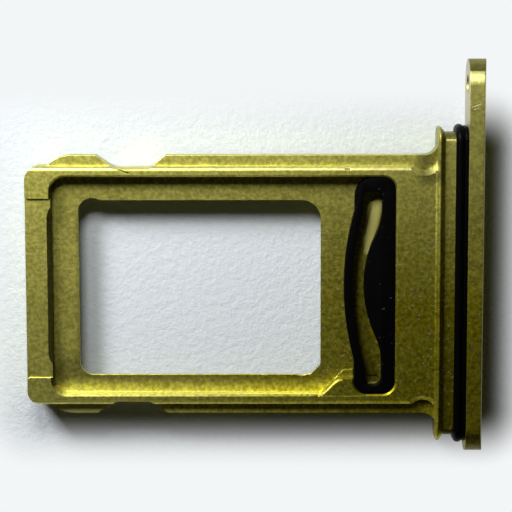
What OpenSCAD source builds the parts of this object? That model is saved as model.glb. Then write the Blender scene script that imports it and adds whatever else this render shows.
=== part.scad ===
// Two-sided tray for nano cards: a machined frame with its face plate, a rubber seal ring behind
// the plate, and one looped card spring in the slot of each pocket.
// Before place() moves it, x runs from the rear end to the face plate, y across, z from the mid-plane.

/* [Nano card] */
// Length of a card, along the tray
card_l = 12.3; // [11.9:0.1:12.7]
// Width of a card, across the tray
card_w = 8.8; // [8.5:0.1:9.3]
// Thickness of a card
card_t = 0.67; // [0.6:0.01:0.76]
// How much the cut corner takes off each edge of a card
card_cut = 1.65; // [1.5:0.05:1.9]
// Gap between a card and the pocket's walls at its ends
card_gap = 0.05; // [0.03:0.01:0.1]
// Gap between a card and the pocket's side walls
card_side_gap = 0.1; // [0.05:0.01:0.15]
// How far a card's face lies below the rim
card_sink = 0.03; // [0.01:0.01:0.06]

/* [Card pockets] */
// Radius of the two pocket corners at the rear end
pocket_r = 0.57; // [0.4:0.01:0.7]
// Bevel along the rim of each pocket
rim_break = 0.07; // [0.04:0.01:0.1]
// Thickness of the web between the two pockets
web_t = 0.2; // [0.16:0.01:0.3]
// Gap between a card's cut corner and the block in the pocket's corner
block_gap = 0.27; // [0.15:0.01:0.4]
// How far the corner block stands out from the side wall
block_w = 0.65; // [0.5:0.01:0.8]
// Rounding where the block's slope starts and ends
block_r = 0.5; // [0.3:0.05:0.6]
// Height of the low step beside the corner block
step_t = 0.08; // [0.04:0.01:0.12]
// Width of the low step beside the corner block
step_w = 0.38; // [0.25:0.01:0.5]
// Slope of the low step's edge from one end to the other
step_rise = 0.14; // [0:0.01:0.2]

/* [Contact window] */
// Length of the window through the web
window_l = 9.98; // [9:0.02:10.4]
// Width of the window through the web
window_w = 7.28; // [6.8:0.01:7.6]
// Ledge left between the pocket's rear wall and the window
window_ledge = 1.07; // [0.9:0.01:1.3]
// How far the window lies off the centreline
window_shift = 0.16; // [0:0.01:0.25]
// Radius of the two window corners at the rear end
window_r = 0.57; // [0.4:0.01:0.8]
// Radius of the window's upper corner beside the spring
window_far_r = 0.8; // [0.5:0.05:1]
// Size of the slanted lower corner beside the spring
window_cut = 0.42; // [0.3:0.01:0.6]
// How far the cutter ran over in two of the window's corners
window_overrun = 0.09; // [0.04:0.01:0.12]

/* [Rear wall] */
// Thickness of the rear wall
rear_wall = 1.05; // [0.9:0.01:1.3]
// Radius of the body's two rear corners
body_r = 0.57; // [0.4:0.01:0.8]
// Length of the lowered part of the rear wall's faces
dip_l = 7.4; // [6.5:0.1:7.8]
// Depth of the lowered part
dip_d = 0.09; // [0.05:0.01:0.12]
// How far the lowered part lies off the centreline
dip_shift = 0.09; // [0:0.01:0.2]
// Radius of the lowered part's flared ends at the outer edge
dip_flare_r = 0.15; // [0.1:0.01:0.25]
// Length of the sloped lead-in cut in the rear wall's inner edge
lead_l = 6.7; // [5.5:0.1:7.2]
// Width of the lead-in at the rim
lead_w = 0.22; // [0.15:0.01:0.3]
// Depth of the lead-in
lead_d = 0.36; // [0.25:0.01:0.45]
// Radius of the tapered cutter at the rim
lead_cutter_r = 0.85; // [0.7:0.05:1.1]

/* [Side walls and rails] */
// Thickness of each side wall, from the pocket to the body's side
side_wall = 0.43; // [0.36:0.01:0.55]
// Radius of the rounded shoulders between the rim and the sides
shoulder_r = 0.2; // [0.12:0.01:0.24]
// How far each rail stands out from the body's side
rail_w = 0.42; // [0.3:0.01:0.6]
// Thickness of the rails
rail_t = 0.8; // [0.6:0.02:1]
// Distance from the rear end to the start of the rails
rail_start = 0.52; // [0.4:0.01:0.7]
// Radius of the rails' rounded rear ends
rail_lead_r = 1.36; // [0.9:0.02:1.6]
// Distance from the rear end to the detent notch
notch_x = 2.86; // [2.6:0.02:3.2]
// Length of the notch at its mouth
notch_l = 2.9; // [2.5:0.02:3.2]
// How deep the notch cuts into the body's side
notch_d = 0.13; // [0.06:0.01:0.15]
// Length of the notch's slope nearer the rear end
notch_in = 0.8; // [0.6:0.02:0.9]
// Length of the notch's slope nearer the face plate
notch_out = 0.68; // [0.5:0.02:0.8]
// Rounding of the notch's corners
notch_r = 0.28; // [0.15:0.01:0.3]

/* [Card springs] */
// Width of the slot that holds the spring, along the tray
slot_l = 1.7; // [1.6:0.02:1.9]
// Radius of the slot's corners
slot_r = 0.53; // [0.4:0.01:0.6]
// Gap between the spring and the slot
spring_fit = 0.02; // [0.01:0.005:0.04]
// Height of the spring above the web
spring_h = 0.64; // [0.5:0.01:0.66]
// Thickness of the spring's free strand
strand_t = 0.34; // [0.25:0.01:0.42]
// How far the strand stands out into the pocket
bulge = 0.41; // [0.25:0.01:0.5]
// Radius of the strand's outward curve
bulge_r = 11.6; // [9:0.2:13]
// Radius of the spring's free shoulder
spring_shoulder_r = 0.8; // [0.6:0.05:0.85]
// Thickness of the loop at its upper end
loop_upper_t = 0.6; // [0.4:0.01:0.8]
// Thickness of the loop at its lower end
loop_lower_t = 0.33; // [0.25:0.01:0.5]
// Radius of the corners inside the loop
loop_r = 0.3; // [0.2:0.01:0.34]
// Thickness of the loop's back at its ends
back_t = 0.53; // [0.45:0.01:0.6]
// Thickness of the loop's back in the middle
pad_t = 1.27; // [1:0.01:1.3]
// Half of the length over which the back swells
pad_half_l = 3.3; // [3:0.02:3.5]
// Radius of the swelling
pad_r = 4.87; // [4:0.05:6]
// Depth of the smooth recesses in the web inside the loop
recess_d = 0.05; // [0.03:0.01:0.06]
// Width of the slanted recess
recess_w = 0.9; // [0.8:0.02:0.95]
// Radius of the slanted recess's ends
recess_r = 0.4; // [0.3:0.01:0.4]
// Gap between the recesses and the walls beside them
recess_gap = 0.05; // [0.03:0.01:0.08]

/* [Neck and seal groove] */
// Distance from the slot to the fin
neck_l = 1.7; // [1.5:0.02:2]
// Radius of the fillets between the body and the fin
neck_r = 0.55; // [0.45:0.01:0.65]
// How far the neck fillets cut into the body's sides
neck_dip = 0.18; // [0.1:0.01:0.22]
// Radius of the fillet where the rim's face meets the fin
foot_r = 0.11; // [0.06:0.01:0.12]
// Height of the fin above the groove's floor
fin_h = 0.235; // [0.21:0.005:0.28]
// Thickness of the fin at its foot
fin_t = 0.3; // [0.26:0.01:0.4]
// Length of the bevel on the fin's side towards the pocket
fin_break = 0.06; // [0.03:0.01:0.08]
// Thickness of the fin's crest
fin_crest = 0.05; // [0.03:0.01:0.08]
// Width of the collar under the seal, across the tray
collar_w = 12.54; // [12.2:0.02:12.9]
// Height of the collar
collar_h = 1.4; // [1.34:0.01:1.46]
// Corner radius of the collar
collar_r = 0.34; // [0.25:0.01:0.5]
// Length of the groove, from the fin to the face plate
groove_l = 0.93; // [0.85:0.01:1.1]

/* [Seal ring] */
// Width of the seal, along the tray
seal_w = 0.5; // [0.44:0.01:0.6]
// Height of the seal above the collar
seal_h = 0.31; // [0.26:0.01:0.34]
// Radius of the seal's main bead
bead_r = 0.19; // [0.16:0.01:0.2]
// Radius of the narrow lip beside the face plate
lip_r = 0.08; // [0.06:0.005:0.09]
// How much lower the lip is than the bead
lip_drop = 0.05; // [0.02:0.01:0.08]
// Gap between the seal and the metal
seal_fit = 0.01; // [0.005:0.005:0.02]

/* [Face plate] */
// Length of the face plate, across the tray
plate_l = 16.25; // [15.6:0.05:17]
// Width of the face plate, which is its height as it lies
plate_w = 2.1; // [2.06:0.01:2.3]
// Thickness of the face plate at its edges
plate_t = 0.59; // [0.5:0.01:0.75]
// How much the outer face bulges in the middle
plate_crown = 0.13; // [0.06:0.01:0.2]
// How far the face plate lies off the tray's centreline
plate_shift = 1.13; // [0.9:0.01:1.3]
// Radius of the ejector hole
ejector_r = 0.4; // [0.35:0.01:0.5]

/* [Hidden] */
$fn = 48;
// Overlap of solids that are joined, and how far a cut runs past a face
over = 0.05;
// Number of straight pieces that a rounded corner of an outline has
corner_steps = 10;

pocket_l = card_l + 2 * card_gap;
pocket_w = card_w + 2 * card_side_gap;
pocket_d = card_t + card_sink;
body_t = web_t + 2 * pocket_d;
body_w = pocket_w + 2 * side_wall;
tray_w = body_w + 2 * rail_w;
face_z = body_t / 2;
floor_z = web_t / 2;

slot_x = rear_wall + pocket_l;
slot_end = slot_x + slot_l;
fin_x = slot_end + neck_l;
crest_x = fin_x + fin_break + fin_crest;
groove_x = fin_x + fin_t;
plate_x = groove_x + groove_l;
overall_l = plate_x + plate_t + plate_crown;
// Radius of the outer face, from its bulge over the plate's width
crown_r = (pow(plate_w / 2, 2) + pow(plate_crown, 2)) / (2 * plate_crown);
ejector_y = plate_shift + plate_l / 2 - plate_w / 2;

window_x = rear_wall + window_ledge;
window_top = window_w / 2 - window_shift;
window_bottom = -window_w / 2 - window_shift;

// The block's slope follows the card's cut corner at 45 degrees
block_foot = rear_wall + card_gap + card_l - card_cut + block_gap * sqrt(2);

// The cavity of the loop, measured from the slot's edge at the pocket
back_x = slot_l - spring_fit - back_t;
pad_x = slot_l - spring_fit - pad_t;
inner_r = bulge_r - strand_t;
bulge_half = sqrt(2 * bulge_r * bulge - bulge * bulge);
strand_x = strand_t + spring_fit;
// The swelling runs into the straight back through two hollow arcs that touch it
pad_rise = back_x - pad_x;
arcs_apart = (pow(pad_rise, 2) + pow(pad_half_l, 2)) / (2 * pad_rise);
hollow_r = arcs_apart - pad_r;
touch = pad_r / arcs_apart;
touch_x = pad_x + pad_r + touch * (back_x - hollow_r - pad_x - pad_r);
touch_y = touch * pad_half_l;

// Points that round the corner at b, between a and c, with radius r
function unit(v) = v / norm(v);
function corner(a, b, c, r) =
    let (
        u = unit(a - b),
        v = unit(c - b),
        half = acos(u * v) / 2,
        reach = r / tan(half),
        mid = b + unit(u + v) * r / sin(half),
        from = b + u * reach - mid,
        side = b + v * reach - mid,
        turn = 180 - 2 * half,
        way = sign(from.x * side.y - from.y * side.x)
    )
    [for (i = [0:corner_steps])
        let (t = way * turn * i / corner_steps)
        mid + [from.x * cos(t) - from.y * sin(t), from.x * sin(t) + from.y * cos(t)]];

// Outline through points of [x, y, corner radius]
function xy(p) = [p.x, p.y];
function outline(p) =
    [for (i = [0:len(p) - 1], q = p[i].z > 0
        ? corner(xy(p[(i + len(p) - 1) % len(p)]), xy(p[i]), xy(p[(i + 1) % len(p)]), p[i].z)
        : [xy(p[i])]) q];

// Outline of a strip of width w whose rounded ends reach w / 2 past p and q
function strip(p, q, w, r) =
    let (
        u = unit(q - p) * w / 2,
        n = [-u.y, u.x]
    )
    outline([for (c = [p - u - n, q + u - n, q + u + n, p - u + n]) [c.x, c.y, r]]);

module place() translate([-overall_l / 2, -plate_shift, plate_w / 2]) children();
module both_sides() {
    children();
    mirror([0, 1, 0]) children();
}
module both_faces() {
    children();
    rotate([180, 0, 0]) children();
}
module along_x(x) translate([x, 0, 0]) rotate([90, 0, 90]) children();

module rounded_rect(l, w, r) {
    square([l - 2 * r, w], center = true);
    square([l, w - 2 * r], center = true);
    for (x = [-1, 1], y = [-1, 1])
        translate([x * (l / 2 - r), y * (w / 2 - r)]) circle(r);
}

module trapezoid(low, high, h)
    polygon([[-low / 2, 0], [low / 2, 0], [high / 2, h], [-high / 2, h]]);

// Rounded rectangle whose sides slope outwards by grow over the height h
module rounded_frustum(l, w, r, grow, h) {
    for (x = [-1, 1], y = [-1, 1])
        translate([x * (l / 2 - r), y * (w / 2 - r), 0]) cylinder(h = h, r1 = r, r2 = r + grow);
    rotate([90, 0, 0]) linear_extrude(w - 2 * r, center = true) trapezoid(l, l + 2 * grow, h);
    rotate([90, 0, 90]) linear_extrude(l - 2 * r, center = true) trapezoid(w, w + 2 * grow, h);
}

// Rounded pit from the web up to the rim, with its bevel
module pit(x0, x1, w, r) {
    l = x1 - x0;
    translate([(x0 + x1) / 2, 0, floor_z]) {
        linear_extrude(pocket_d + over) rounded_rect(l, w, r);
        translate([0, 0, pocket_d - rim_break])
            rounded_frustum(l, w, r, rim_break + over, rim_break + over);
    }
}

// Outline of the block that fills the pocket's cut corner
function block_points() =
    let (
        side = -pocket_w / 2,
        top = side + block_w,
        sink = block_r / 10
    )
    [
        [block_foot - block_w, side - over, 0],
        [block_foot - block_r * tan(22.5) - sink, side - sink / 2, 0],
        [block_foot, side, block_r],
        [block_foot + block_w, top, block_r],
        [slot_x + slot_r + over, top, 0],
        [slot_x + slot_r + over, side - over, 0]
    ];

// Bar that bevels the rim from p to q
module bevel_bar(p, q) {
    d = q - p;
    side = rim_break * sqrt(2);
    translate([p.x, p.y, face_z]) rotate([0, 0, atan2(d.y, d.x)]) rotate([45, 0, 0])
        translate([0, -side / 2, -side / 2]) cube([norm(d), side, side]);
}

module corner_block() {
    translate([0, 0, floor_z - over]) linear_extrude(pocket_d + over)
        polygon(outline(block_points()));
}

module corner_block_bevel() {
    p = outline(block_points());
    for (i = [2:len(p) - 4]) bevel_bar(p[i], p[i + 1]);
}

// Low step in the pocket's floor between the corner block and the slot
module corner_step() {
    side = -pocket_w / 2 + block_w;
    x0 = block_foot + block_w;
    translate([0, 0, floor_z - over]) linear_extrude(step_t + over) polygon([
        [x0 - block_r / 2, side - block_r / 2],
        [x0 + step_w - step_rise, side + step_w - step_rise],
        [slot_x + slot_r, side + step_w],
        [slot_x + slot_r, side - block_r / 2]
    ]);
}

// Smooth recesses in the web inside the loop
module web_recesses() {
    low = [slot_x + recess_w / 2 + strand_x, pad_half_l / 2];
    high = [slot_end - recess_w / 2 - recess_gap, pad_half_l];
    translate([0, 0, floor_z - recess_d]) linear_extrude(recess_d + over) {
        polygon(strip(low, high, recess_w, recess_r));
        translate([slot_x + (strand_x + back_x) / 2, -pocket_w / 2 + loop_lower_t + recess_gap])
            rounded_rect(back_x - strand_x, 2 * loop_r, loop_r - recess_gap);
    }
}

module card_pocket() pit(rear_wall, slot_end - over, pocket_w, pocket_r);
module spring_slot() pit(slot_x, slot_end, pocket_w, slot_r);

// Sloped lead-in that a tapered cutter leaves in the rear wall's inner edge
module lead_in() {
    low_r = lead_cutter_r - lead_w;
    travel = lead_l - 2 * sqrt(pow(lead_cutter_r, 2) - pow(low_r, 2));
    slope = lead_w / lead_d;
    translate([rear_wall + low_r, 0, face_z - lead_d]) {
        for (s = [-1, 1]) translate([0, s * travel / 2, 0])
            cylinder(h = lead_d + over, r1 = low_r, r2 = lead_cutter_r + slope * over);
        rotate([90, 0, 0]) linear_extrude(travel, center = true)
            trapezoid(2 * low_r, 2 * (lead_cutter_r + slope * over), lead_d + over);
    }
}

// Lowered middle of the rear wall's face, flared where it meets the outer edge
module rear_dip() {
    translate([0, -dip_shift, face_z - dip_d]) linear_extrude(dip_d + over) {
        translate([-over, -dip_l / 2]) square([rear_wall + 2 * over, dip_l]);
        both_sides() translate([0, dip_l / 2 - over]) difference() {
            translate([-over, 0]) square([dip_flare_r + over, dip_flare_r + over]);
            translate([dip_flare_r, dip_flare_r + over]) circle(dip_flare_r);
        }
    }
}

module contact_window() {
    mid_y = (window_top + window_bottom) / 2;
    far_x = window_x + window_l;
    translate([0, 0, -floor_z - over]) linear_extrude(web_t + 2 * over) {
        difference() {
            translate([window_x + window_l / 2, mid_y]) rounded_rect(window_l, window_w, window_r);
            translate([far_x, window_bottom]) rotate(45)
                square(window_cut * sqrt(2), center = true);
            translate([far_x - window_far_r, window_top - window_far_r]) difference() {
                square(window_far_r + over);
                circle(window_far_r);
            }
        }
        translate([window_x + window_r, window_top - window_r + window_overrun]) circle(window_r);
        translate([far_x - window_far_r, window_bottom + window_r - window_overrun / 2])
            circle(window_r);
    }
}

module body_block() {
    intersection() {
        translate([0, 0, -face_z]) linear_extrude(body_t) {
            translate([0, -body_w / 2 + body_r])
                square([fin_x + fin_break, body_w - 2 * body_r]);
            translate([body_r, -body_w / 2]) square([fin_x + fin_break - body_r, body_w]);
            for (s = [-1, 1]) translate([body_r, s * (body_w / 2 - body_r)]) circle(body_r);
        }
        along_x(-over) linear_extrude(fin_x + 2 * over) rounded_rect(body_w, body_t, shoulder_r);
    }
}

// Cutter that leaves the bevelled hollow in each side of the body beside the fin
module neck_cutter() {
    bevel = shoulder_r + over;
    translate([fin_x - neck_r, body_w / 2 - neck_dip + neck_r, 0]) {
        translate([0, 0, rail_t / 2]) cylinder(h = body_t, r = neck_r);
        translate([0, 0, face_z - shoulder_r]) cylinder(h = bevel, r1 = neck_r, r2 = neck_r + bevel);
    }
}

// Corner between the body's side and the fin, before the neck cutter hollows it
module neck_corner() {
    translate([fin_x - neck_r, body_w / 2 - side_wall, rail_t / 2])
        cube([neck_r + over, side_wall + neck_r - neck_dip, face_z - rail_t / 2]);
}

// Rail with its rounded rear end and the fillet that runs into the fin
module rail() {
    y = tray_w / 2;
    linear_extrude(rail_t, center = true) polygon(outline([
        [rail_start, -over, 0],
        [rail_start, y, rail_lead_r],
        [fin_x, y, neck_r],
        [fin_x, y + neck_r + over, 0],
        [fin_x + fin_break, y + neck_r + over, 0],
        [fin_x + fin_break, -over, 0]
    ]));
}

// Cutter for the detent notch in the rail and the body's side
module notch_cutter() {
    mouth = tray_w / 2 + over / 5;
    root = body_w / 2 - notch_d;
    far_x = notch_x + notch_l;
    translate([0, 0, -face_z - over]) linear_extrude(body_t + 2 * over) polygon(outline([
        [notch_x - notch_r, mouth, 0],
        [notch_x, mouth, notch_r / 2],
        [notch_x + notch_in, root, notch_r],
        [far_x - notch_out, root, notch_r],
        [far_x, mouth, notch_r],
        [far_x + notch_r, mouth, 0],
        [far_x + notch_r, mouth + over, 0],
        [notch_x - notch_r, mouth + over, 0]
    ]));
}

// Fillet where the rim's face runs up into the fin
module foot_fillet() {
    translate([fin_x, 0, face_z]) rotate([90, 0, 0])
        linear_extrude(body_w - 2 * neck_dip, center = true) difference() {
            translate([-foot_r, -over]) square([foot_r + over, foot_r + over]);
            translate([-foot_r, foot_r]) circle(foot_r);
        }
}

// Fin between the neck and the groove, bevelled on one side and sloped on the other
module fin() {
    l = collar_w + 2 * fin_h;
    w = collar_h + 2 * fin_h;
    r = collar_r + fin_h;
    b = fin_break;
    slope = fin_h / (groove_x - crest_x);
    intersection() {
        along_x(fin_x) linear_extrude(fin_t) rounded_rect(l, w, r);
        along_x(fin_x) rounded_frustum(l - 2 * b, w - 2 * b, r - b, fin_t, fin_t);
        translate([groove_x, 0, 0]) rotate([90, 0, -90])
            rounded_frustum(collar_w, collar_h, collar_r, slope * fin_t, fin_t);
    }
}

module face_plate() {
    intersection() {
        along_x(plate_x) linear_extrude(plate_t + plate_crown)
            translate([plate_shift, 0]) {
                square([plate_l - plate_w, plate_w], center = true);
                for (s = [-1, 1]) translate([s * (plate_l - plate_w) / 2, 0]) circle(plate_w / 2);
            }
        translate([overall_l - crown_r, plate_shift, 0]) rotate([90, 0, 0])
            cylinder(h = plate_l + 2 * over, r = crown_r, center = true, $fn = 180);
    }
}

// Frame before the pockets, the window and the ejector hole are cut
module blank() {
    difference() {
        union() {
            difference() {
                union() {
                    body_block();
                    both_faces() both_sides() neck_corner();
                }
                both_faces() both_sides() neck_cutter();
            }
            both_sides() rail();
        }
        both_sides() notch_cutter();
    }
    both_faces() foot_fillet();
    fin();
    along_x(fin_x) linear_extrude(plate_x - fin_x + over)
        rounded_rect(collar_w, collar_h, collar_r);
    face_plate();
}

module tray_frame() {
    color("#9c9648") place() difference() {
        union() {
            difference() {
                blank();
                both_faces() {
                    card_pocket();
                    lead_in();
                    rear_dip();
                }
            }
            both_faces() {
                corner_block();
                corner_step();
            }
        }
        both_faces() {
            spring_slot();
            corner_block_bevel();
            web_recesses();
        }
        contact_window();
        translate([plate_x - over, ejector_y, 0]) rotate([0, 90, 0])
            cylinder(h = overall_l - plate_x + 2 * over, r = ejector_r);
    }
}

// Section of the seal: x outwards from the collar, y along the tray
module seal_section() {
    h = seal_h - seal_fit;
    lip_h = h - lip_drop;
    square([lip_h - lip_r, seal_w]);
    translate([lip_h - lip_r, seal_w - lip_r]) circle(lip_r);
    intersection() {
        translate([h - bead_r, bead_r]) circle(bead_r);
        square([h, seal_w]);
    }
}

// Sweeps a section round a rounded rectangle
module sweep_ring(l, w, r) {
    for (a = [0, 180]) rotate(a) {
        translate([l / 2 - r, w / 2 - r, 0]) rotate_extrude(angle = 90) translate([r, 0]) children();
        translate([-l / 2 + r, w / 2 - r, 0]) rotate(90)
            rotate_extrude(angle = 90) translate([r, 0]) children();
        translate([l / 2, w / 2 - r, 0]) rotate([90, 0, 0]) linear_extrude(w - 2 * r) children();
        translate([-l / 2 + r, w / 2, 0]) rotate([90, 0, 90]) linear_extrude(l - 2 * r) children();
    }
}

module seal_ring() {
    color("#0b0b0b") place() along_x(plate_x - seal_fit - seal_w)
        sweep_ring(collar_w + 2 * seal_fit, collar_h + 2 * seal_fit, collar_r + seal_fit)
            seal_section();
}

// Swelling of the loop's back, with the hollow arcs that lead into it
module pad_2d() {
    difference() {
        translate([touch_x, -pad_half_l]) square([slot_l - spring_fit - touch_x, 2 * pad_half_l]);
        for (s = [-1, 1]) translate([back_x - hollow_r, s * pad_half_l]) circle(hollow_r, $fn = 180);
    }
    intersection() {
        translate([pad_x + pad_r, 0]) circle(pad_r, $fn = 180);
        translate([pad_x, -touch_y]) square([touch_x - pad_x + over, 2 * touch_y]);
    }
}

module loop_cavity_2d() {
    upper = pocket_w / 2 - loop_upper_t;
    lower = -pocket_w / 2 + loop_lower_t;
    difference() {
        union() {
            translate([(strand_x + back_x) / 2, (upper + lower) / 2])
                rounded_rect(back_x - strand_x, upper - lower, loop_r);
            intersection() {
                translate([bulge_r - bulge, 0]) circle(inner_r, $fn = 360);
                translate([-bulge, -bulge_half]) square([bulge + back_x - loop_r, 2 * bulge_half]);
            }
        }
        pad_2d();
    }
}

module loop_outline_2d() {
    l = slot_l - 2 * spring_fit;
    w = pocket_w - 2 * spring_fit;
    big = spring_shoulder_r;
    difference() {
        translate([slot_l / 2, 0]) rounded_rect(l, w, slot_r - spring_fit);
        translate([spring_fit, w / 2 - big]) difference() {
            translate([-over, 0]) square([big + over, big + over]);
            translate([big, 0]) circle(big);
        }
    }
    intersection() {
        translate([bulge_r - bulge, 0]) circle(bulge_r, $fn = 360);
        translate([-bulge, -bulge_half]) square([bulge + strand_t, 2 * bulge_half]);
    }
}

module card_spring() {
    translate([slot_x, 0, floor_z + spring_fit]) linear_extrude(spring_h - spring_fit) difference() {
        loop_outline_2d();
        loop_cavity_2d();
    }
}

module front_card_spring() color("#111111") place() card_spring();
module back_card_spring() color("#111111") place() rotate([180, 0, 0]) card_spring();

tray_frame();
seal_ring();
front_card_spring();
back_card_spring();
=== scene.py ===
"""Dress a two-sided tray for nano cards: anodised frame, rubber seal and looped card springs."""
from math import cos, pi, radians, sin, tan

import bmesh
import bpy
from mathutils import Matrix, Vector


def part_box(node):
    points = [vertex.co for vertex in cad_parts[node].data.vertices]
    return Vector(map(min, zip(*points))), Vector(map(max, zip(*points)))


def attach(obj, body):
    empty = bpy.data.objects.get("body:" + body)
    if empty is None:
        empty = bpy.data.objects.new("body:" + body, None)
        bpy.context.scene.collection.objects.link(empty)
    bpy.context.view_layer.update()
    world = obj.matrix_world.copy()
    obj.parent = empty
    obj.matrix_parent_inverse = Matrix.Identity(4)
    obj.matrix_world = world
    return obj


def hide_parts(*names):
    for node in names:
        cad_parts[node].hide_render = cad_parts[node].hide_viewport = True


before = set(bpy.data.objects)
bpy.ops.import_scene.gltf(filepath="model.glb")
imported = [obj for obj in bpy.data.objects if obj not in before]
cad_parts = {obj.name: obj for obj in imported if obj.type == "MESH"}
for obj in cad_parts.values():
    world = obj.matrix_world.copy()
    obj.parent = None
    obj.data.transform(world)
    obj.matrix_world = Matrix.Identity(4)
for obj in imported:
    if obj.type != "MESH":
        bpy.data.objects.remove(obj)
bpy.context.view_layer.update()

bl_info = {
    "name": "Nano card tray",
    "version": (1, 0, 0),
    "blender": (4, 5, 0),
    "location": "View3D > Sidebar > Card tray",
    "description": "Gives a card tray its anodised finish, seal, card springs and studio",
    "category": "Object",
}

BODY = "root"
MM = 0.001

# Places on the tray, in millimetres from its origin
TRAY_LOW, TRAY_HIGH = (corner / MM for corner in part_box("tray_frame"))
SEAL_LOW, SEAL_HIGH = (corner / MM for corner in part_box("seal_ring"))
CENTRE_Y = (SEAL_LOW.y + SEAL_HIGH.y) / 2
RAIL_TO_CENTRE = 5.4
TOP_Z = 1.85
SLOT_Z = 1.1
IN_WINDOW = Vector((TRAY_LOW.x + 6.9, 0, (TRAY_LOW.z + TRAY_HIGH.z) / 2))
CAMERA_TARGET = Vector((0.036, 0.130, TOP_Z))

# Points of a piece that are closer than this, in metres, are joined. Faces that turn by less than
# the flat angle become one face, and edges that turn by more than the rim's angle are rounded.
SAME_POINT = 1e-7
FLAT_ANGLE = radians(1)
RIM_ANGLE = radians(50)

# Marks on the metal: start, end and width
SCRATCHES = (
    ((-7.33, 4.27, TOP_Z), (-7.05, 4.12, TOP_Z), 0.05),
    ((-7.05, 4.12, TOP_Z), (-6.84, 4.06, TOP_Z), 0.05),
    ((-8.20, -3.98, TOP_Z), (-8.16, -3.95, TOP_Z), 0.06),
    ((8.75, 6.22, TRAY_HIGH.z), (9.10, 6.34, TRAY_HIGH.z), 0.028),
    ((8.84, 6.12, TRAY_HIGH.z), (9.02, 6.17, TRAY_HIGH.z), 0.02),
    ((-8.90, -4.60, TOP_Z), (-8.55, -4.95, TOP_Z), 0.04),
    ((-8.70, -4.45, TOP_Z), (-8.40, -4.78, TOP_Z), 0.035),
)
# Painted light: a smooth patch on the slot's floor inside the loop, and a crescent at its low end,
# painted lighter where the floor lies in shade
LIT_SMOOTH_PATCH = (
    ((5.00, 2.34, SLOT_Z), (4.68, 0.70, SLOT_Z), 0.34),
    ((4.68, 0.66, SLOT_Z), (4.62, 0.22, SLOT_Z), 0.22),
    ((4.76, -5.32, SLOT_Z), (5.02, -5.32, SLOT_Z), 0.13),
)
PITS = (
    ((3.70, 3.72, TOP_Z), (3.86, 3.70, TOP_Z), 0.07),
    ((-9.36, -4.35, TOP_Z), (-9.34, -4.62, TOP_Z), 0.05),
    ((-5.62, 3.72, TOP_Z), (-5.45, 3.62, TOP_Z), 0.05),
    ((-5.42, 3.62, TOP_Z), (-5.16, 3.52, TOP_Z), 0.045),
)

# Regions of the metal, by place in millimetres or by how far a face looks along an axis
# (to_x, to_y, to_z). Two numbers are where a region starts and where it is full. Four are
# where it starts, is full, is last full and ends.
HEAD_X = (7.70, 7.75)
PLATE_X = (8.5, 8.6)
COLLAR_X = HEAD_X + PLATE_X
BEFORE_HEAD_X = HEAD_X[::-1]
UPWARDS = (0.8, 0.9)
NOT_OUTWARDS = (0.7, 0.5)
ON_WEB = {"z": (1.3, 1.2), "to_z": UPWARDS}
REGIONS = {
    "plate": {"x": PLATE_X},
    "collar": {"x": COLLAR_X},
    "plate_end": {"x": PLATE_X, "y": (7.62, 7.67), "to_x": NOT_OUTWARDS},
    "collar_end": {"x": COLLAR_X, "y": (4.86, 4.91), "to_x": NOT_OUTWARDS},
    "low_end": {"x": HEAD_X, "to_x": NOT_OUTWARDS, "to_y": (-0.1, -0.3)},
    # Gleam: a painted highlight, with lower roughness, on the head's faces that turn towards the
    # ejector hole's side
    "gleam": {"x": HEAD_X, "to_y": (0.06, 0.12)},
    "plate_bend": {"x": PLATE_X, "y": (3.7, 4.7, 5.5, 6.5)},
    "outer_rim": {"x": (9.22, 9.30), "z": (1.6, 1.8)},
    "inner_face": {"x": PLATE_X, "y": (4.9, 5.3), "to_x": (-0.6, -0.8)},
    "lead_in": {"x": (-9.0, -8.9, -8.3, -8.25), "to_x": (0.6, 0.7)},
    "bevel": {"x": BEFORE_HEAD_X, "y": (-4.0, -3.5), "to_y": (0.2, 0.4, 0.8, 0.95)},
    "neck_hollow": {"x": (6.5, 6.9) + HEAD_X, "y": (2.9, 3.3)},
    "notch": {"x": (-5.9, -5.3, -4.5, -3.9), "y": (3.47, 3.53, 3.83, 3.89), "to_y": UPWARDS},
    "high_ledge": {"y": (-0.5, 2.0), **ON_WEB},
    "low_ledge": {"y": (-3.9, -4.6), **ON_WEB},
    "window_side": {"x": (-7.5, -7.15, -6.9, -6.8), "y": (-5.0, -4.4, 1.7, 2.3), **ON_WEB},
    "lower_wall": {"x": (3.4, 2.6), "y": (-5.9, -5.8, -5.0, -4.6), "to_y": (0.85, 0.95)},
    "low_rim": {"x": (7.0, 6.0), "y": (-5.86, -5.9), "z": (1.7, 1.8), "to_z": UPWARDS},
    "low_rail": {"x": BEFORE_HEAD_X, "y": (-6.1, -6.15), "z": (1.6, 1.5), "to_z": UPWARDS},
}

# Painted light and shade: how much lighter, or below 0 darker, a region is painted, and how that
# changes on the way along an axis: the axis, where the change starts and is full, and how much it
# is
SHADES = {
    "bevel": (-0.28, ("x", -3, 5, 0.4)),
    "neck_hollow": (-0.5,),
    "high_ledge": (-0.17, ("x", -6, -2, 0.08)),
    "low_ledge": (-0.38, ("x", -8, 4, 0.25), ("y", -4.95, -5.45, 0.85)),
    "window_side": (-0.5,),
    "lower_wall": (0.0, ("x", -3, 3, 1.1)),
    "low_rim": (1.7, ("x", -7, -3, -0.7), ("x", 1, 5, 0.5)),
    "low_rail": (1.8, ("x", -8, -3, -1.2)),
    "collar": (0.0, ("y", 1, -6, -0.32)),
    "plate_bend": (-0.12,),
}

# Painted light: the plate is painted lighter around its middle, most at this y and out to its
# reach
PLATE_MIDDLE_Y = -1.1
PLATE_MIDDLE_REACH = 2.6
PLATE_MIDDLE_SHADE = 0.3

# The bevel's painted highlight and shade are weaker by this share where it nears the neck's hollow
WEAKER_BEVEL = 0.6
WEAKER_BEVEL_X = (6.3, 6.8)

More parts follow.
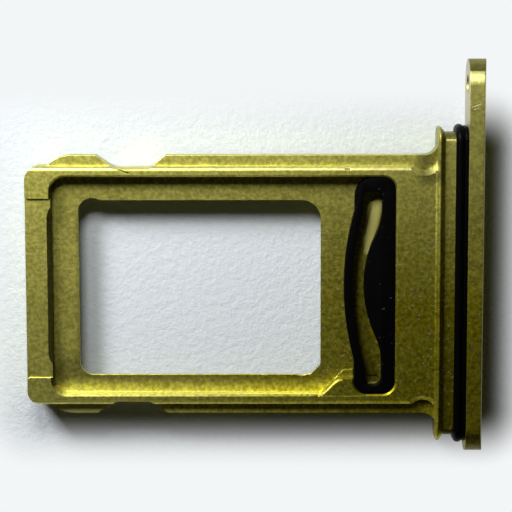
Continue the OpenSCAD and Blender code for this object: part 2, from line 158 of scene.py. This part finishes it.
# How much painted shade darkens these regions: the ends of the head, the plate's outer rim, the
# lead-in (a painted shadow) and the gleam
PAINTED_SHADE_ENDS = 0.72
PAINTED_SHADE_OUTER_RIM = 0.55
PAINTED_SHADOW_LEAD_IN = 0.85
GLEAM_DARKENING = 0.14

# Painted shade: how the metal is painted darker as y falls, more so towards the face plate, with
# random clouds of tone
PAINTED_SHADE_EVEN_Y = 3
PAINTED_SHADE_PER_MM = 0.115
PAINTED_SHADE_LIMITS = (-0.42, 0.55)
PAINTED_SHADE_X = (-8, 7)
TONE_CLOUD = 0.2
PAINTED_SHADE_MEAN = 0.42

# How far faces lean to the light: in the smooth patch, where the ends gleam, and on the wall
SMOOTH_LEAN = (-0.10, 0.18, 0)
GLEAM_LEAN = (-0.12, 0, 0)
WALL_LEAN = (0, 0, 0.95)


class Value:
    """A socket of a material's nodes that can be used in Python sums."""

    def __init__(self, finish, socket):
        self.finish = finish
        self.socket = socket

    def maths(self, operation, *others):
        """Add a Math node whose first input is this value."""
        inputs = dict(enumerate((self, *others)))
        return self.finish.add("ShaderNodeMath", {"operation": operation}, inputs)

    def __add__(self, other):
        return self.maths("ADD", other)

    def __sub__(self, other):
        return self.maths("SUBTRACT", other)

    def __rsub__(self, other):
        return self.finish.add("ShaderNodeMath", {"operation": "SUBTRACT"}, {0: other, 1: self})

    def __mul__(self, other):
        return self.maths("MULTIPLY", other)

    __radd__ = __add__
    __rmul__ = __mul__

    def size(self):
        """Value without its sign."""
        return self.maths("ABSOLUTE")

    def larger(self, other):
        """The larger of two values."""
        return self.maths("MAXIMUM", other)

    def limited(self, low, high):
        """Value, kept from low to high."""
        return self.larger(low).maths("MINIMUM", high)

    def rise(self, start, full):
        """Smooth step from 0 at start to 1 at full, which may be the lower of the two."""
        return self.finish.add(
            "ShaderNodeMapRange",
            {"interpolation_type": "SMOOTHSTEP"},
            {"Value": self, "From Min": start, "From Max": full},
        )


class Finish:
    """A procedural material and the nodes it is made of."""

    def __init__(self, name):
        self.material = bpy.data.materials.new(name)
        self.material.use_nodes = True
        self.tree = self.material.node_tree
        self.tree.nodes.clear()

    def add(self, kind, settings=None, inputs=None, output=0):
        """Add a node: its settings first, then the values or links of its sockets."""
        node = self.tree.nodes.new(kind)
        for name, value in (settings or {}).items():
            setattr(node, name, value)
        for name, value in (inputs or {}).items():
            if isinstance(value, Value):
                self.tree.links.new(value.socket, node.inputs[name])
            else:
                node.inputs[name].default_value = value
        return Value(self, node.outputs[output]) if node.outputs else None

    def vector(self, operation, *inputs, output="Vector"):
        """Add a Vector Math node."""
        settings = {"operation": operation}
        return self.add("ShaderNodeVectorMath", settings, dict(enumerate(inputs)), output)

    def scaled(self, colour, share):
        """Colour or vector times a share."""
        return self.add(
            "ShaderNodeVectorMath", {"operation": "SCALE"}, {"Vector": colour, "Scale": share}
        )

    def place(self):
        """Point on the surface, in millimetres from the tray's origin."""
        return self.scaled(self.add("ShaderNodeTexCoord", output="Object"), 1 / MM)

    def axes(self, point):
        """The x, y and z of a point."""
        return [self.add("ShaderNodeSeparateXYZ", None, {0: point}, axis) for axis in "XYZ"]

    def noise(self, point, scale, detail=2.0, roughness=0.5):
        """Noise from 0 to 1, with scale cells in a millimetre."""
        return self.add(
            "ShaderNodeTexNoise",
            None,
            {"Vector": point, "Scale": scale, "Detail": detail, "Roughness": roughness},
            "Fac",
        )

    def blend(self, share, first, second):
        """Colour that goes from first to second as share goes from 0 to 1."""
        return self.add(
            "ShaderNodeMix", {"data_type": "RGBA"}, {"Factor": share, 6: first, 7: second}, 2
        )

    def painted(self, colour, *coats):
        """Colour under coats, each with its share and its colour."""
        for share, coat in coats:
            colour = self.blend(share, colour, colour4(coat))
        return colour

    def strokes(self, place, marks):
        """1 along each of these lines of start, end and width."""
        strokes, *others = (self.stroke(place, *mark) for mark in marks)
        for line in others:
            strokes = strokes.larger(line)
        return strokes

    def stroke(self, place, start, end, width):
        """1 along a line on the surface, in millimetres, falling to 0 at its width."""
        start, along = Vector(start), Vector(end) - Vector(start)
        offset = self.vector("SUBTRACT", place, start)
        share = self.vector(
            "DOT_PRODUCT", offset, along / along.length_squared, output="Value"
        ).limited(0, 1)
        gap = self.vector("SUBTRACT", offset, self.scaled(along, share))
        return self.vector("LENGTH", gap, output="Value").rise(width, width * 0.3)

    def bump(self, height, depth, normal=None):
        """Normal of a surface with this height, times depth in millimetres."""
        inputs = {"Height": height, "Distance": depth * MM, "Strength": 1.0}
        if normal is not None:
            inputs["Normal"] = normal
        return self.add("ShaderNodeBump", None, inputs, "Normal")

    def principled(self, sockets):
        """Add a Principled shader."""
        return self.add("ShaderNodeBsdfPrincipled", None, sockets)

    def connected(self, shader):
        """Material, with this shader at its output."""
        self.add("ShaderNodeOutputMaterial", None, {"Surface": shader})
        return self.material


def colour4(colour):
    """Colour with full alpha."""
    return (*colour[:3], 1.0)


def region(axes, bounds):
    """1 in a region of the metal and 0 outside it."""
    inside = 1
    for axis, ends in bounds.items():
        inside = axes[axis].rise(*ends[:2]) * inside
        if len(ends) == 4:
            inside = axes[axis].rise(ends[3], ends[2]) * inside
    return inside


def tray_regions(finish, place, normal):
    """Values of place and facing along each axis, and of each region of the metal."""
    names = ("x", "y", "z", "to_x", "to_y", "to_z")
    axes = dict(zip(names, finish.axes(place) + finish.axes(normal)))
    parts = {name: region(axes, bounds) for name, bounds in REGIONS.items()}
    parts["bevel"] *= 1 - axes["x"].rise(*WEAKER_BEVEL_X) * WEAKER_BEVEL
    # Painted shade on the ends of the plate and the collar and on the head's low end
    ends = parts["plate_end"] + parts["collar_end"] + parts["low_end"]
    parts["dull_ends"] = ends.limited(0, 1)
    parts["gleam"] *= 1 - parts["dull_ends"]
    return axes, parts


def painted_shade_depth(axes, cloud):
    """How dark the metal is painted: even at the rear end, darker towards the low end of the
    plate, with random clouds of tone.
    """
    drift = ((PAINTED_SHADE_EVEN_Y - axes["y"]) * PAINTED_SHADE_PER_MM).limited(*PAINTED_SHADE_LIMITS)
    return (drift * axes["x"].rise(*PAINTED_SHADE_X) + (cloud - 0.5) * TONE_CLOUD + PAINTED_SHADE_MEAN).limited(0, 1)


def shade(axes, parts):
    """Painted light and shade: how many times lighter or darker the metal is painted, from region
    to region.
    """
    off_middle = (axes["y"] - PLATE_MIDDLE_Y).size() * (1 / PLATE_MIDDLE_REACH)
    middle = parts["plate"] * (1 - off_middle.limited(0, 1))
    light = middle * PLATE_MIDDLE_SHADE + 1
    for name, (change, *drifts) in SHADES.items():
        for axis, start, full, more in drifts:
            change = axes[axis].rise(start, full) * more + change
        light = light * (parts[name] * change + 1)
    return light


def unshaded_share(parts):
    """Share of its colour that the metal keeps, less than 1 where painted shade darkens it."""
    rim = (parts["outer_rim"] * PAINTED_SHADE_OUTER_RIM).larger(parts["lead_in"] * PAINTED_SHADOW_LEAD_IN)
    darkened = (parts["dull_ends"] * PAINTED_SHADE_ENDS).larger(rim)
    return (1 - darkened) * (1 - parts["gleam"] * GLEAM_DARKENING)


def anodised_aluminium(settings):
    """Bead-blasted, yellow anodised aluminium with bright worn edges, and painted light and shade.
    """
    finish = Finish("anodised_aluminium")
    place = finish.place()
    flat = finish.add("ShaderNodeNewGeometry", output="Normal")
    rounded = finish.add(
        "ShaderNodeBevel", {"samples": 8}, {"Radius": settings.edge_radius}, "Normal"
    )
    axes, parts = tray_regions(finish, place, flat)

    cloud = finish.noise(place, scale=0.55, detail=3.0)
    blotch = finish.noise(place, scale=2.4)
    grain = finish.noise(place, scale=6.4, detail=1.0)
    fine = finish.noise(place, scale=13.0, detail=1.0)
    specks = finish.noise(place, scale=10.0, detail=1.0).rise(0.62, 0.74)
    scratch, pit, smooth = (
        finish.strokes(place, marks) for marks in (SCRATCHES, PITS, LIT_SMOOTH_PATCH)
    )

    # An edge is where the rounded surface turns away from the flat one, and it's worn in patches
    turn = finish.vector("DOT_PRODUCT", rounded, flat, output="Value")
    patches = finish.noise(place, scale=5.0, detail=3.0).rise(0.36, 0.62)
    wear = (1 - turn).rise(0.02, 0.22) * patches

    # The blasted grain shows most where the painted shade is dark, and not in the smooth patch
    shade_depth = painted_shade_depth(axes, cloud)
    # Painted shade: the colour goes from the anodised colour to the shade colour as the painted
    # shade darkens
    tint = finish.blend(shade_depth, colour4(settings.metal_colour), colour4(settings.shade_colour))
    sparkle = (grain * 0.75 + fine * 0.25 + (blotch - 0.5) * 0.08).rise(0.22, 0.78)
    contrast = (shade_depth * 0.55 + 0.5) * (1 - smooth) * settings.grain_contrast
    grained = finish.scaled(tint, (sparkle - 0.5) * contrast + 1)
    fleck = specks * (shade_depth * 0.45 + 0.05) * (1 - smooth)
    # Painted light: the notch's floor, which faces the lamps, is painted a saturated yellow in
    # grainy patches
    notch_patch = parts["notch"] * grain.rise(0.35, 0.55)

    wear_and_highlight = settings.wear_and_highlight_colour
    # Painted highlight: slopes that face the ejector hole's side are tinted towards the worn
    # colour
    bevelled = finish.painted(grained, (parts["bevel"] * 0.3, wear_and_highlight))
    # Painted light and shade, region by region
    shaded = finish.scaled(bevelled, shade(axes, parts))
    bright = (wear * settings.edge_wear).larger(fleck)
    # Wear and bright specks, and the gleam's painted highlight
    worn_and_highlighted = finish.painted(shaded, (bright, wear_and_highlight), (parts["gleam"] * 0.22, wear_and_highlight))
    # Painted shade on the ends, the outer rim and the lead-in, under the marks
    colour = finish.painted(
        finish.scaled(worn_and_highlighted, unshaded_share(parts)),
        (parts["inner_face"] * 0.9, settings.grey_colour),
        # Painted light on the slot's shaded floor inside the loop
        (smooth * 0.9, settings.lit_patch_colour),
        (scratch * 0.7, wear_and_highlight),
        # Painted light on the notch's floor
        (notch_patch * 0.6, settings.notch_colour),
        (pit * 0.85, settings.pit_colour),
    )

    normal = rounded
    leans = ((smooth, SMOOTH_LEAN), (parts["gleam"], GLEAM_LEAN), (parts["lower_wall"], WALL_LEAN))
    for share, lean in leans:
        normal = finish.vector("ADD", normal, finish.scaled(Vector(lean), share))
    normal = finish.vector("NORMALIZE", normal)
    height = grain * 0.6 + fine * 0.5 + blotch * 0.1 - scratch * 0.6 - pit * 2
    roughness = settings.roughness + (blotch - 0.5) * 0.03 - wear * 0.08
    sockets = {
        "Base Color": colour,
        "Metallic": 1.0,
        "Roughness": roughness + smooth * 0.05 - parts["gleam"] * 0.04,
        "Normal": finish.bump(height, settings.grain_depth / MM, normal),
    }
    return finish.connected(finish.principled(sockets))


def black_rubber(name, settings, roughness, dust):
    """Black silicone rubber with a faint skin texture and a share of dust specks."""
    finish = Finish(name)
    place = finish.place()
    mottle = finish.noise(place, scale=4.0, detail=3.0)
    skin = finish.noise(place, scale=14.0)
    speck = finish.noise(place, scale=6.5, detail=1.0).rise(1 - dust, 1 - dust * 0.9)
    colour = finish.blend(speck, colour4(settings.rubber_colour), colour4(settings.dust_colour))
    sockets = {
        "Base Color": colour,
        "Roughness": roughness + (mottle - 0.5) * 0.2,
        "Specular IOR Level": 0.04,
        "Normal": finish.bump(skin + mottle * 0.6, settings.skin_depth / MM),
    }
    return finish.connected(finish.principled(sockets))


def paper(settings):
    """Pale, slightly cool paper with a soft tooth, seen as white away from the tray."""
    finish = Finish("studio_paper")
    place = finish.place()
    tooth = finish.noise(place, scale=3.2, detail=4.0, roughness=0.7)
    tone = finish.noise(place, scale=5.0, detail=2.0, roughness=0.6)
    colour = finish.blend(tone, colour4(settings.paper_shade), colour4(settings.paper_colour))
    sockets = {
        "Base Color": colour,
        "Roughness": 0.9,
        "Specular IOR Level": 0.1,
        "Normal": finish.bump(tooth, settings.paper_tooth / MM),
    }
    sheet = finish.principled(sockets)
    white = finish.add(
        "ShaderNodeEmission", None, {"Color": colour4(settings.backdrop_colour), "Strength": 1.0}
    )

    # How far the floor is from the tray's outline along x, along y and in all
    x, y = finish.axes(place)[:2]
    past_end = (x.size() - TRAY_HIGH.x).larger(0)
    past_rail = ((y - CENTRE_Y).size() - RAIL_TO_CENTRE).larger(0)
    away = (past_end * past_end + past_rail * past_rail).maths("SQRT")
    rays = ("Is Camera Ray", "Is Glossy Ray", "Is Transmission Ray")
    camera, glossy, through = (finish.add("ShaderNodeLightPath", output=ray) for ray in rays)
    seen = camera.larger(glossy).larger(through)
    share = away.rise(settings.white_start / MM, settings.white_reach / MM) * seen
    return finish.connected(
        finish.add("ShaderNodeMixShader", None, {0: share, 1: sheet, 2: white})
    )


def soft_edged_copy(node, name, radius):
    """Piece with the form of a CAD node, its edges rounded."""
    mesh = bpy.data.meshes.new(name)
    work = bmesh.new()
    work.from_mesh(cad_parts[node].data)
    bmesh.ops.remove_doubles(work, verts=work.verts, dist=SAME_POINT)
    bmesh.ops.dissolve_limit(
        work, angle_limit=FLAT_ANGLE, verts=work.verts, edges=work.edges, delimit=set()
    )
    rims = [
        edge for edge in work.edges
        if len(edge.link_faces) == 2 and edge.calc_face_angle() > RIM_ANGLE
    ]
    bmesh.ops.bevel(
        work, geom=rims, offset=radius, offset_type="OFFSET", segments=3, profile=0.5,
        affect="EDGES", clamp_overlap=True,
    )
    for face in work.faces:
        face.smooth = True
    work.to_mesh(mesh)
    work.free()
    piece = bpy.data.objects.new(name, mesh)
    bpy.context.scene.collection.objects.link(piece)
    return piece


def settle(piece, material, slot, *nodes):
    """Give a piece its material and its body, and hide the CAD nodes that it stands for."""
    piece.data.materials.clear()
    piece.data.materials.append(material)
    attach(piece, BODY)
    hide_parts(*nodes)


def softbox(name, place, size, level, colour):
    """Area lamp at a place in millimetres that looks into the contact window.

    Its power goes by its area, so that its size doesn't change how bright the lamp itself looks.
    """
    lamp = bpy.data.lights.new(name, "AREA")
    lamp.shape = "RECTANGLE"
    lamp.size, lamp.size_y = (side * MM for side in size)
    lamp.energy = level * pi * lamp.size * lamp.size_y
    lamp.color = colour
    box = bpy.data.objects.new(name, lamp)
    box.visible_camera = False
    bpy.context.scene.collection.objects.link(box)
    box.location = Vector(place) * MM
    box.rotation_euler = (Vector(place) - IN_WINDOW).to_track_quat("Z", "Y").to_euler()


class TrayFinishSettings(bpy.types.PropertyGroup):
    """Colours and textures of the anodised metal"""

    metal_colour: bpy.props.FloatVectorProperty(
        name="Anodised colour",
        description="Colour of the anodised metal",
        subtype="COLOR", size=3, min=0, max=1, default=(0.80, 0.765, 0.20),
    )
    # Painted shade: the colour that the metal is painted where its painted shade is darkest,
    # towards the low end of the plate
    shade_colour: bpy.props.FloatVectorProperty(
        name="Deeper colour",
        description="Colour where the dye took more",
        subtype="COLOR", size=3, min=0, max=1, default=(0.31, 0.278, 0.006),
    )
    # Colour of worn edges and scratches, and of the painted highlights on the slopes and the gleam
    wear_and_highlight_colour: bpy.props.FloatVectorProperty(
        name="Worn colour",
        description="Colour along worn edges",
        subtype="COLOR", size=3, min=0, max=1, default=(0.90, 0.87, 0.55),
    )
    grey_colour: bpy.props.FloatVectorProperty(
        name="Inner face colour",
        description="Colour of the face plate's inner face, where the dye is pale",
        subtype="COLOR", size=3, min=0, max=1, default=(0.50, 0.47, 0.36),
    )
    # Painted light: the lighter colour of the slot's shaded floor inside the loop
    lit_patch_colour: bpy.props.FloatVectorProperty(
        name="Smooth patch colour",
        description="Colour of the slot's floor where the blasting didn't reach",
        subtype="COLOR", size=3, min=0, max=1, default=(0.36, 0.345, 0.11),
    )
    # Painted light: the saturated yellow of the notch's lit floor
    notch_colour: bpy.props.FloatVectorProperty(
        name="Rubbed colour",
        description="Colour at the bottom of the notch, where the reader's detent rubs",
        subtype="COLOR", size=3, min=0, max=1, default=(0.62, 0.50, 0.03),
    )
    pit_colour: bpy.props.FloatVectorProperty(
        name="Pit colour",
        description="Colour in pits and nicks",
        subtype="COLOR", size=3, min=0, max=1, default=(0.05, 0.045, 0.005),
    )
    grain_contrast: bpy.props.FloatProperty(
        name="Grain contrast",
        description="How much the blasted grain's facets differ in tone",
        subtype="FACTOR", min=0, max=2, default=0.9,
    )
    edge_wear: bpy.props.FloatProperty(
        name="Edge wear",
        description="How much the edges are worn",
        subtype="FACTOR", min=0, max=1, default=0.25,
    )
    edge_radius: bpy.props.FloatProperty(
        name="Edge radius",
        description="Rounding seen along the machined edges",
        unit="LENGTH", min=0, max=0.0002, precision=5, default=0.00002,
    )
    roughness: bpy.props.FloatProperty(
        name="Roughness",
        description="Roughness of the blasted surface",
        subtype="FACTOR", min=0, max=1, default=0.47,
    )
    grain_depth: bpy.props.FloatProperty(
        name="Grain depth",
        description="Depth of the blasted grain",
        unit="LENGTH", min=0, max=0.0001, precision=6, default=0.000006,
    )


class RubberSettings(bpy.types.PropertyGroup):
    """Colours and textures of the seal and the springs"""

    rubber_colour: bpy.props.FloatVectorProperty(
        name="Rubber colour",
        description="Colour of the seal and the springs",
        subtype="COLOR", size=3, min=0, max=1, default=(0.001, 0.001, 0.0011),
    )
    dust_colour: bpy.props.FloatVectorProperty(
        name="Dust colour",
        description="Colour of the specks of dust",
        subtype="COLOR", size=3, min=0, max=1, default=(0.035, 0.035, 0.032),
    )
    rim_radius: bpy.props.FloatProperty(
        name="Rim radius",
        description="Rounding of the springs' moulded edges, and twice that of the seal's",
        unit="LENGTH", min=0, max=0.0001, precision=5, default=0.00005,
    )
    skin_depth: bpy.props.FloatProperty(
        name="Skin depth",
        description="Depth of the rubber's surface texture",
        unit="LENGTH", min=0, max=0.0001, precision=6, default=0.000006,
    )


class StageSettings(bpy.types.PropertyGroup):
    """Floor, light and camera"""

    paper_colour: bpy.props.FloatVectorProperty(
        name="Paper colour",
        description="Colour of the floor",
        subtype="COLOR", size=3, min=0, max=1, default=(0.635, 0.68, 0.71),
    )
    paper_shade: bpy.props.FloatVectorProperty(
        name="Paper shade",
        description="Darker colour of the floor",
        subtype="COLOR", size=3, min=0, max=1, default=(0.545, 0.59, 0.625),
    )
    paper_tooth: bpy.props.FloatProperty(
        name="Paper tooth",
        description="Depth of the paper's surface",
        unit="LENGTH", min=0, max=0.0005, precision=5, default=0.00005,
    )
    backdrop_colour: bpy.props.FloatVectorProperty(
        name="Backdrop colour",
        description="Colour that the floor is seen in away from the tray",
        subtype="COLOR", size=3, min=0, max=1, default=(0.90, 0.92, 0.93),
    )
    white_start: bpy.props.FloatProperty(
        name="White starts",
        description="How far from the tray the floor starts to be seen in the backdrop's colour",
        unit="LENGTH", min=0, max=0.1, precision=4, default=0.0003,
    )
    white_reach: bpy.props.FloatProperty(
        name="White from",
        description="How far from the tray the floor is seen wholly in the backdrop's colour",
        unit="LENGTH", min=0.001, max=0.1, precision=4, default=0.0028,
    )
    floor_radius: bpy.props.FloatProperty(
        name="Floor radius",
        description="Radius of the floor",
        unit="LENGTH", min=0.05, max=5, default=1.0,
    )
    key_level: bpy.props.FloatProperty(
        name="Key light",
        description="Light from the corner between the rear end and the ejector hole's side",
        min=0, max=100, default=37,
    )
    side_level: bpy.props.FloatProperty(
        name="Side light",
        description="Light from the ejector hole's side",
        min=0, max=100, default=24,
    )
    fill_level: bpy.props.FloatProperty(
        name="Fill light",
        description="Weak light from the other side",
        min=0, max=10, default=0.35,
    )
    room_colour: bpy.props.FloatVectorProperty(
        name="Room colour",
        description="Colour of the even light from all around",
        subtype="COLOR", size=3, min=0, max=1, default=(1.0, 0.88, 0.55),
    )
    room_level: bpy.props.FloatProperty(
        name="Room light",
        description="Even light from all around",
        min=0, max=2, default=0.01,
    )
    camera_distance: bpy.props.FloatProperty(
        name="Camera distance",
        description="From the camera to the tray",
        unit="LENGTH", min=0.03, max=1, default=0.080,
    )
    camera_lean: bpy.props.FloatProperty(
        name="Camera lean",
        description="How far the camera leans towards the ejector hole's side",
        subtype="ANGLE", min=radians(-80), max=radians(80), default=radians(7.5),
    )
    camera_side: bpy.props.FloatProperty(
        name="Camera side lean",
        description="How far the camera leans towards the face plate",
        subtype="ANGLE", min=radians(-80), max=radians(80), default=radians(0.3),
    )
    camera_roll: bpy.props.FloatProperty(
        name="Camera roll",
        description="Turn of the picture",
        subtype="ANGLE", min=radians(-180), max=radians(180), default=radians(0.087),
    )
    camera_field: bpy.props.FloatProperty(
        name="Field of view",
        description="Angle that the square picture takes in",
        subtype="ANGLE", min=radians(2), max=radians(90), default=radians(14.896),
    )


class TRAY_OT_finish_frame(bpy.types.Operator):
    """Give the machined frame its anodised finish"""

    bl_idname = "card_tray.finish_frame"
    bl_label = "Finish the frame"

    def execute(self, context):
        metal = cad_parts["tray_frame"]
        material = anodised_aluminium(context.scene.tray_finish)
        metal.data.materials.clear()
        metal.data.materials.append(material)
        return {"FINISHED"}


class TRAY_OT_fit_seal(bpy.types.Operator):
    """Fit the rubber seal in the groove behind the face plate"""

    bl_idname = "card_tray.fit_seal"
    bl_label = "Fit the seal"

    def execute(self, context):
        settings = context.scene.tray_rubber
        seal = soft_edged_copy("seal_ring", "rubber_seal", settings.rim_radius / 2)
        material = black_rubber("seal_rubber", settings, roughness=0.42, dust=0.2)
        settle(seal, material, "seal_rubber", "seal_ring")
        return {"FINISHED"}


class TRAY_OT_fit_springs(bpy.types.Operator):
    """Fit the looped card springs in their slots"""

    bl_idname = "card_tray.fit_springs"
    bl_label = "Fit the springs"

    def execute(self, context):
        settings = context.scene.tray_rubber
        material = black_rubber("spring_rubber", settings, roughness=0.5, dust=0.24)
        for side in ("front", "back"):
            node = side + "_card_spring"
            spring = soft_edged_copy(node, side + "_loop_spring", settings.rim_radius)
            settle(spring, material, "spring_rubber", node)
        return {"FINISHED"}


class TRAY_OT_set_stage(bpy.types.Operator):
    """Set the floor, the lamps and the camera"""

    bl_idname = "card_tray.set_stage"
    bl_label = "Set the stage"

    def execute(self, context):
        settings = context.scene.tray_stage
        bpy.ops.mesh.primitive_circle_add(
            vertices=64, radius=settings.floor_radius, fill_type="NGON", location=(0, 0, 0)
        )
        floor = context.object
        floor.name = "paper_floor"
        floor.data.materials.append(paper(settings))

        # Name, place and size in millimetres, level and colour
        lamps = (
            ("key_softbox", (-36.8, 41.6, 35.7), (21, 21), settings.key_level, (0.99, 0.99, 1.0)),
            ("side_softbox", (-9.7, 25.8, 30.8), (12, 12), settings.side_level, (1.0, 0.99, 0.97)),
            ("fill_softbox", (9.6, -138, 57), (90, 50), settings.fill_level, (1.0, 0.9, 0.7)),
        )
        for lamp in lamps:
            softbox(*lamp)
        world = bpy.data.worlds.new("room")
        world.use_nodes = True
        room = world.node_tree.nodes["Background"]
        room.inputs["Color"].default_value = colour4(settings.room_colour)
        room.inputs["Strength"].default_value = settings.room_level
        context.scene.world = world
        set_camera(context.scene, settings)
        context.scene.view_settings.view_transform = "Standard"
        return {"FINISHED"}


def set_camera(scene, settings):
    """Look down on the tray, as from a hand-held camera."""
    away = Vector((tan(settings.camera_side), tan(settings.camera_lean), 1)).normalized()
    up = Vector((sin(settings.camera_roll), cos(settings.camera_roll), 0))
    right = up.cross(away).normalized()
    up = away.cross(right)
    lens = bpy.data.cameras.new("tray_camera")
    lens.sensor_fit = "HORIZONTAL"
    lens.angle = settings.camera_field
    lens.clip_start = 0.005
    lens.clip_end = 10
    camera = bpy.data.objects.new("tray_camera", lens)
    scene.collection.objects.link(camera)
    turn = Matrix((right, up, away)).transposed().to_4x4()
    place = CAMERA_TARGET * MM + away * settings.camera_distance
    camera.matrix_world = Matrix.Translation(place) @ turn
    scene.camera = camera


class TRAY_PT_panel(bpy.types.Panel):
    """Settings and steps in the 3D view's sidebar"""

    bl_idname = "TRAY_PT_panel"
    bl_label = "Card tray"
    bl_space_type = "VIEW_3D"
    bl_region_type = "UI"
    bl_category = "Card tray"

    def draw(self, context):
        scene = context.scene
        for settings in (scene.tray_finish, scene.tray_rubber, scene.tray_stage):
            box = self.layout.box()
            for name in settings.__annotations__:
                box.prop(settings, name)
        for step in OPERATORS:
            self.layout.operator(step.bl_idname)


SETTINGS = {
    "tray_finish": TrayFinishSettings,
    "tray_rubber": RubberSettings,
    "tray_stage": StageSettings,
}
OPERATORS = (TRAY_OT_set_stage, TRAY_OT_finish_frame, TRAY_OT_fit_seal, TRAY_OT_fit_springs)


def register():
    """Register the settings, the steps and the panel."""
    for name, group in SETTINGS.items():
        bpy.utils.register_class(group)
        setattr(bpy.types.Scene, name, bpy.props.PointerProperty(type=group))
    for operator in OPERATORS:
        bpy.utils.register_class(operator)
    bpy.utils.register_class(TRAY_PT_panel)


def unregister():
    """Take the panel, the steps and the settings out again."""
    bpy.utils.unregister_class(TRAY_PT_panel)
    for operator in reversed(OPERATORS):
        bpy.utils.unregister_class(operator)
    for name, group in SETTINGS.items():
        delattr(bpy.types.Scene, name)
        bpy.utils.unregister_class(group)


def main():
    """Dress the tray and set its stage."""
    register()
    bpy.ops.card_tray.set_stage()
    bpy.ops.card_tray.finish_frame()
    bpy.ops.card_tray.fit_seal()
    bpy.ops.card_tray.fit_springs()


if __name__ == "__main__":
    main()
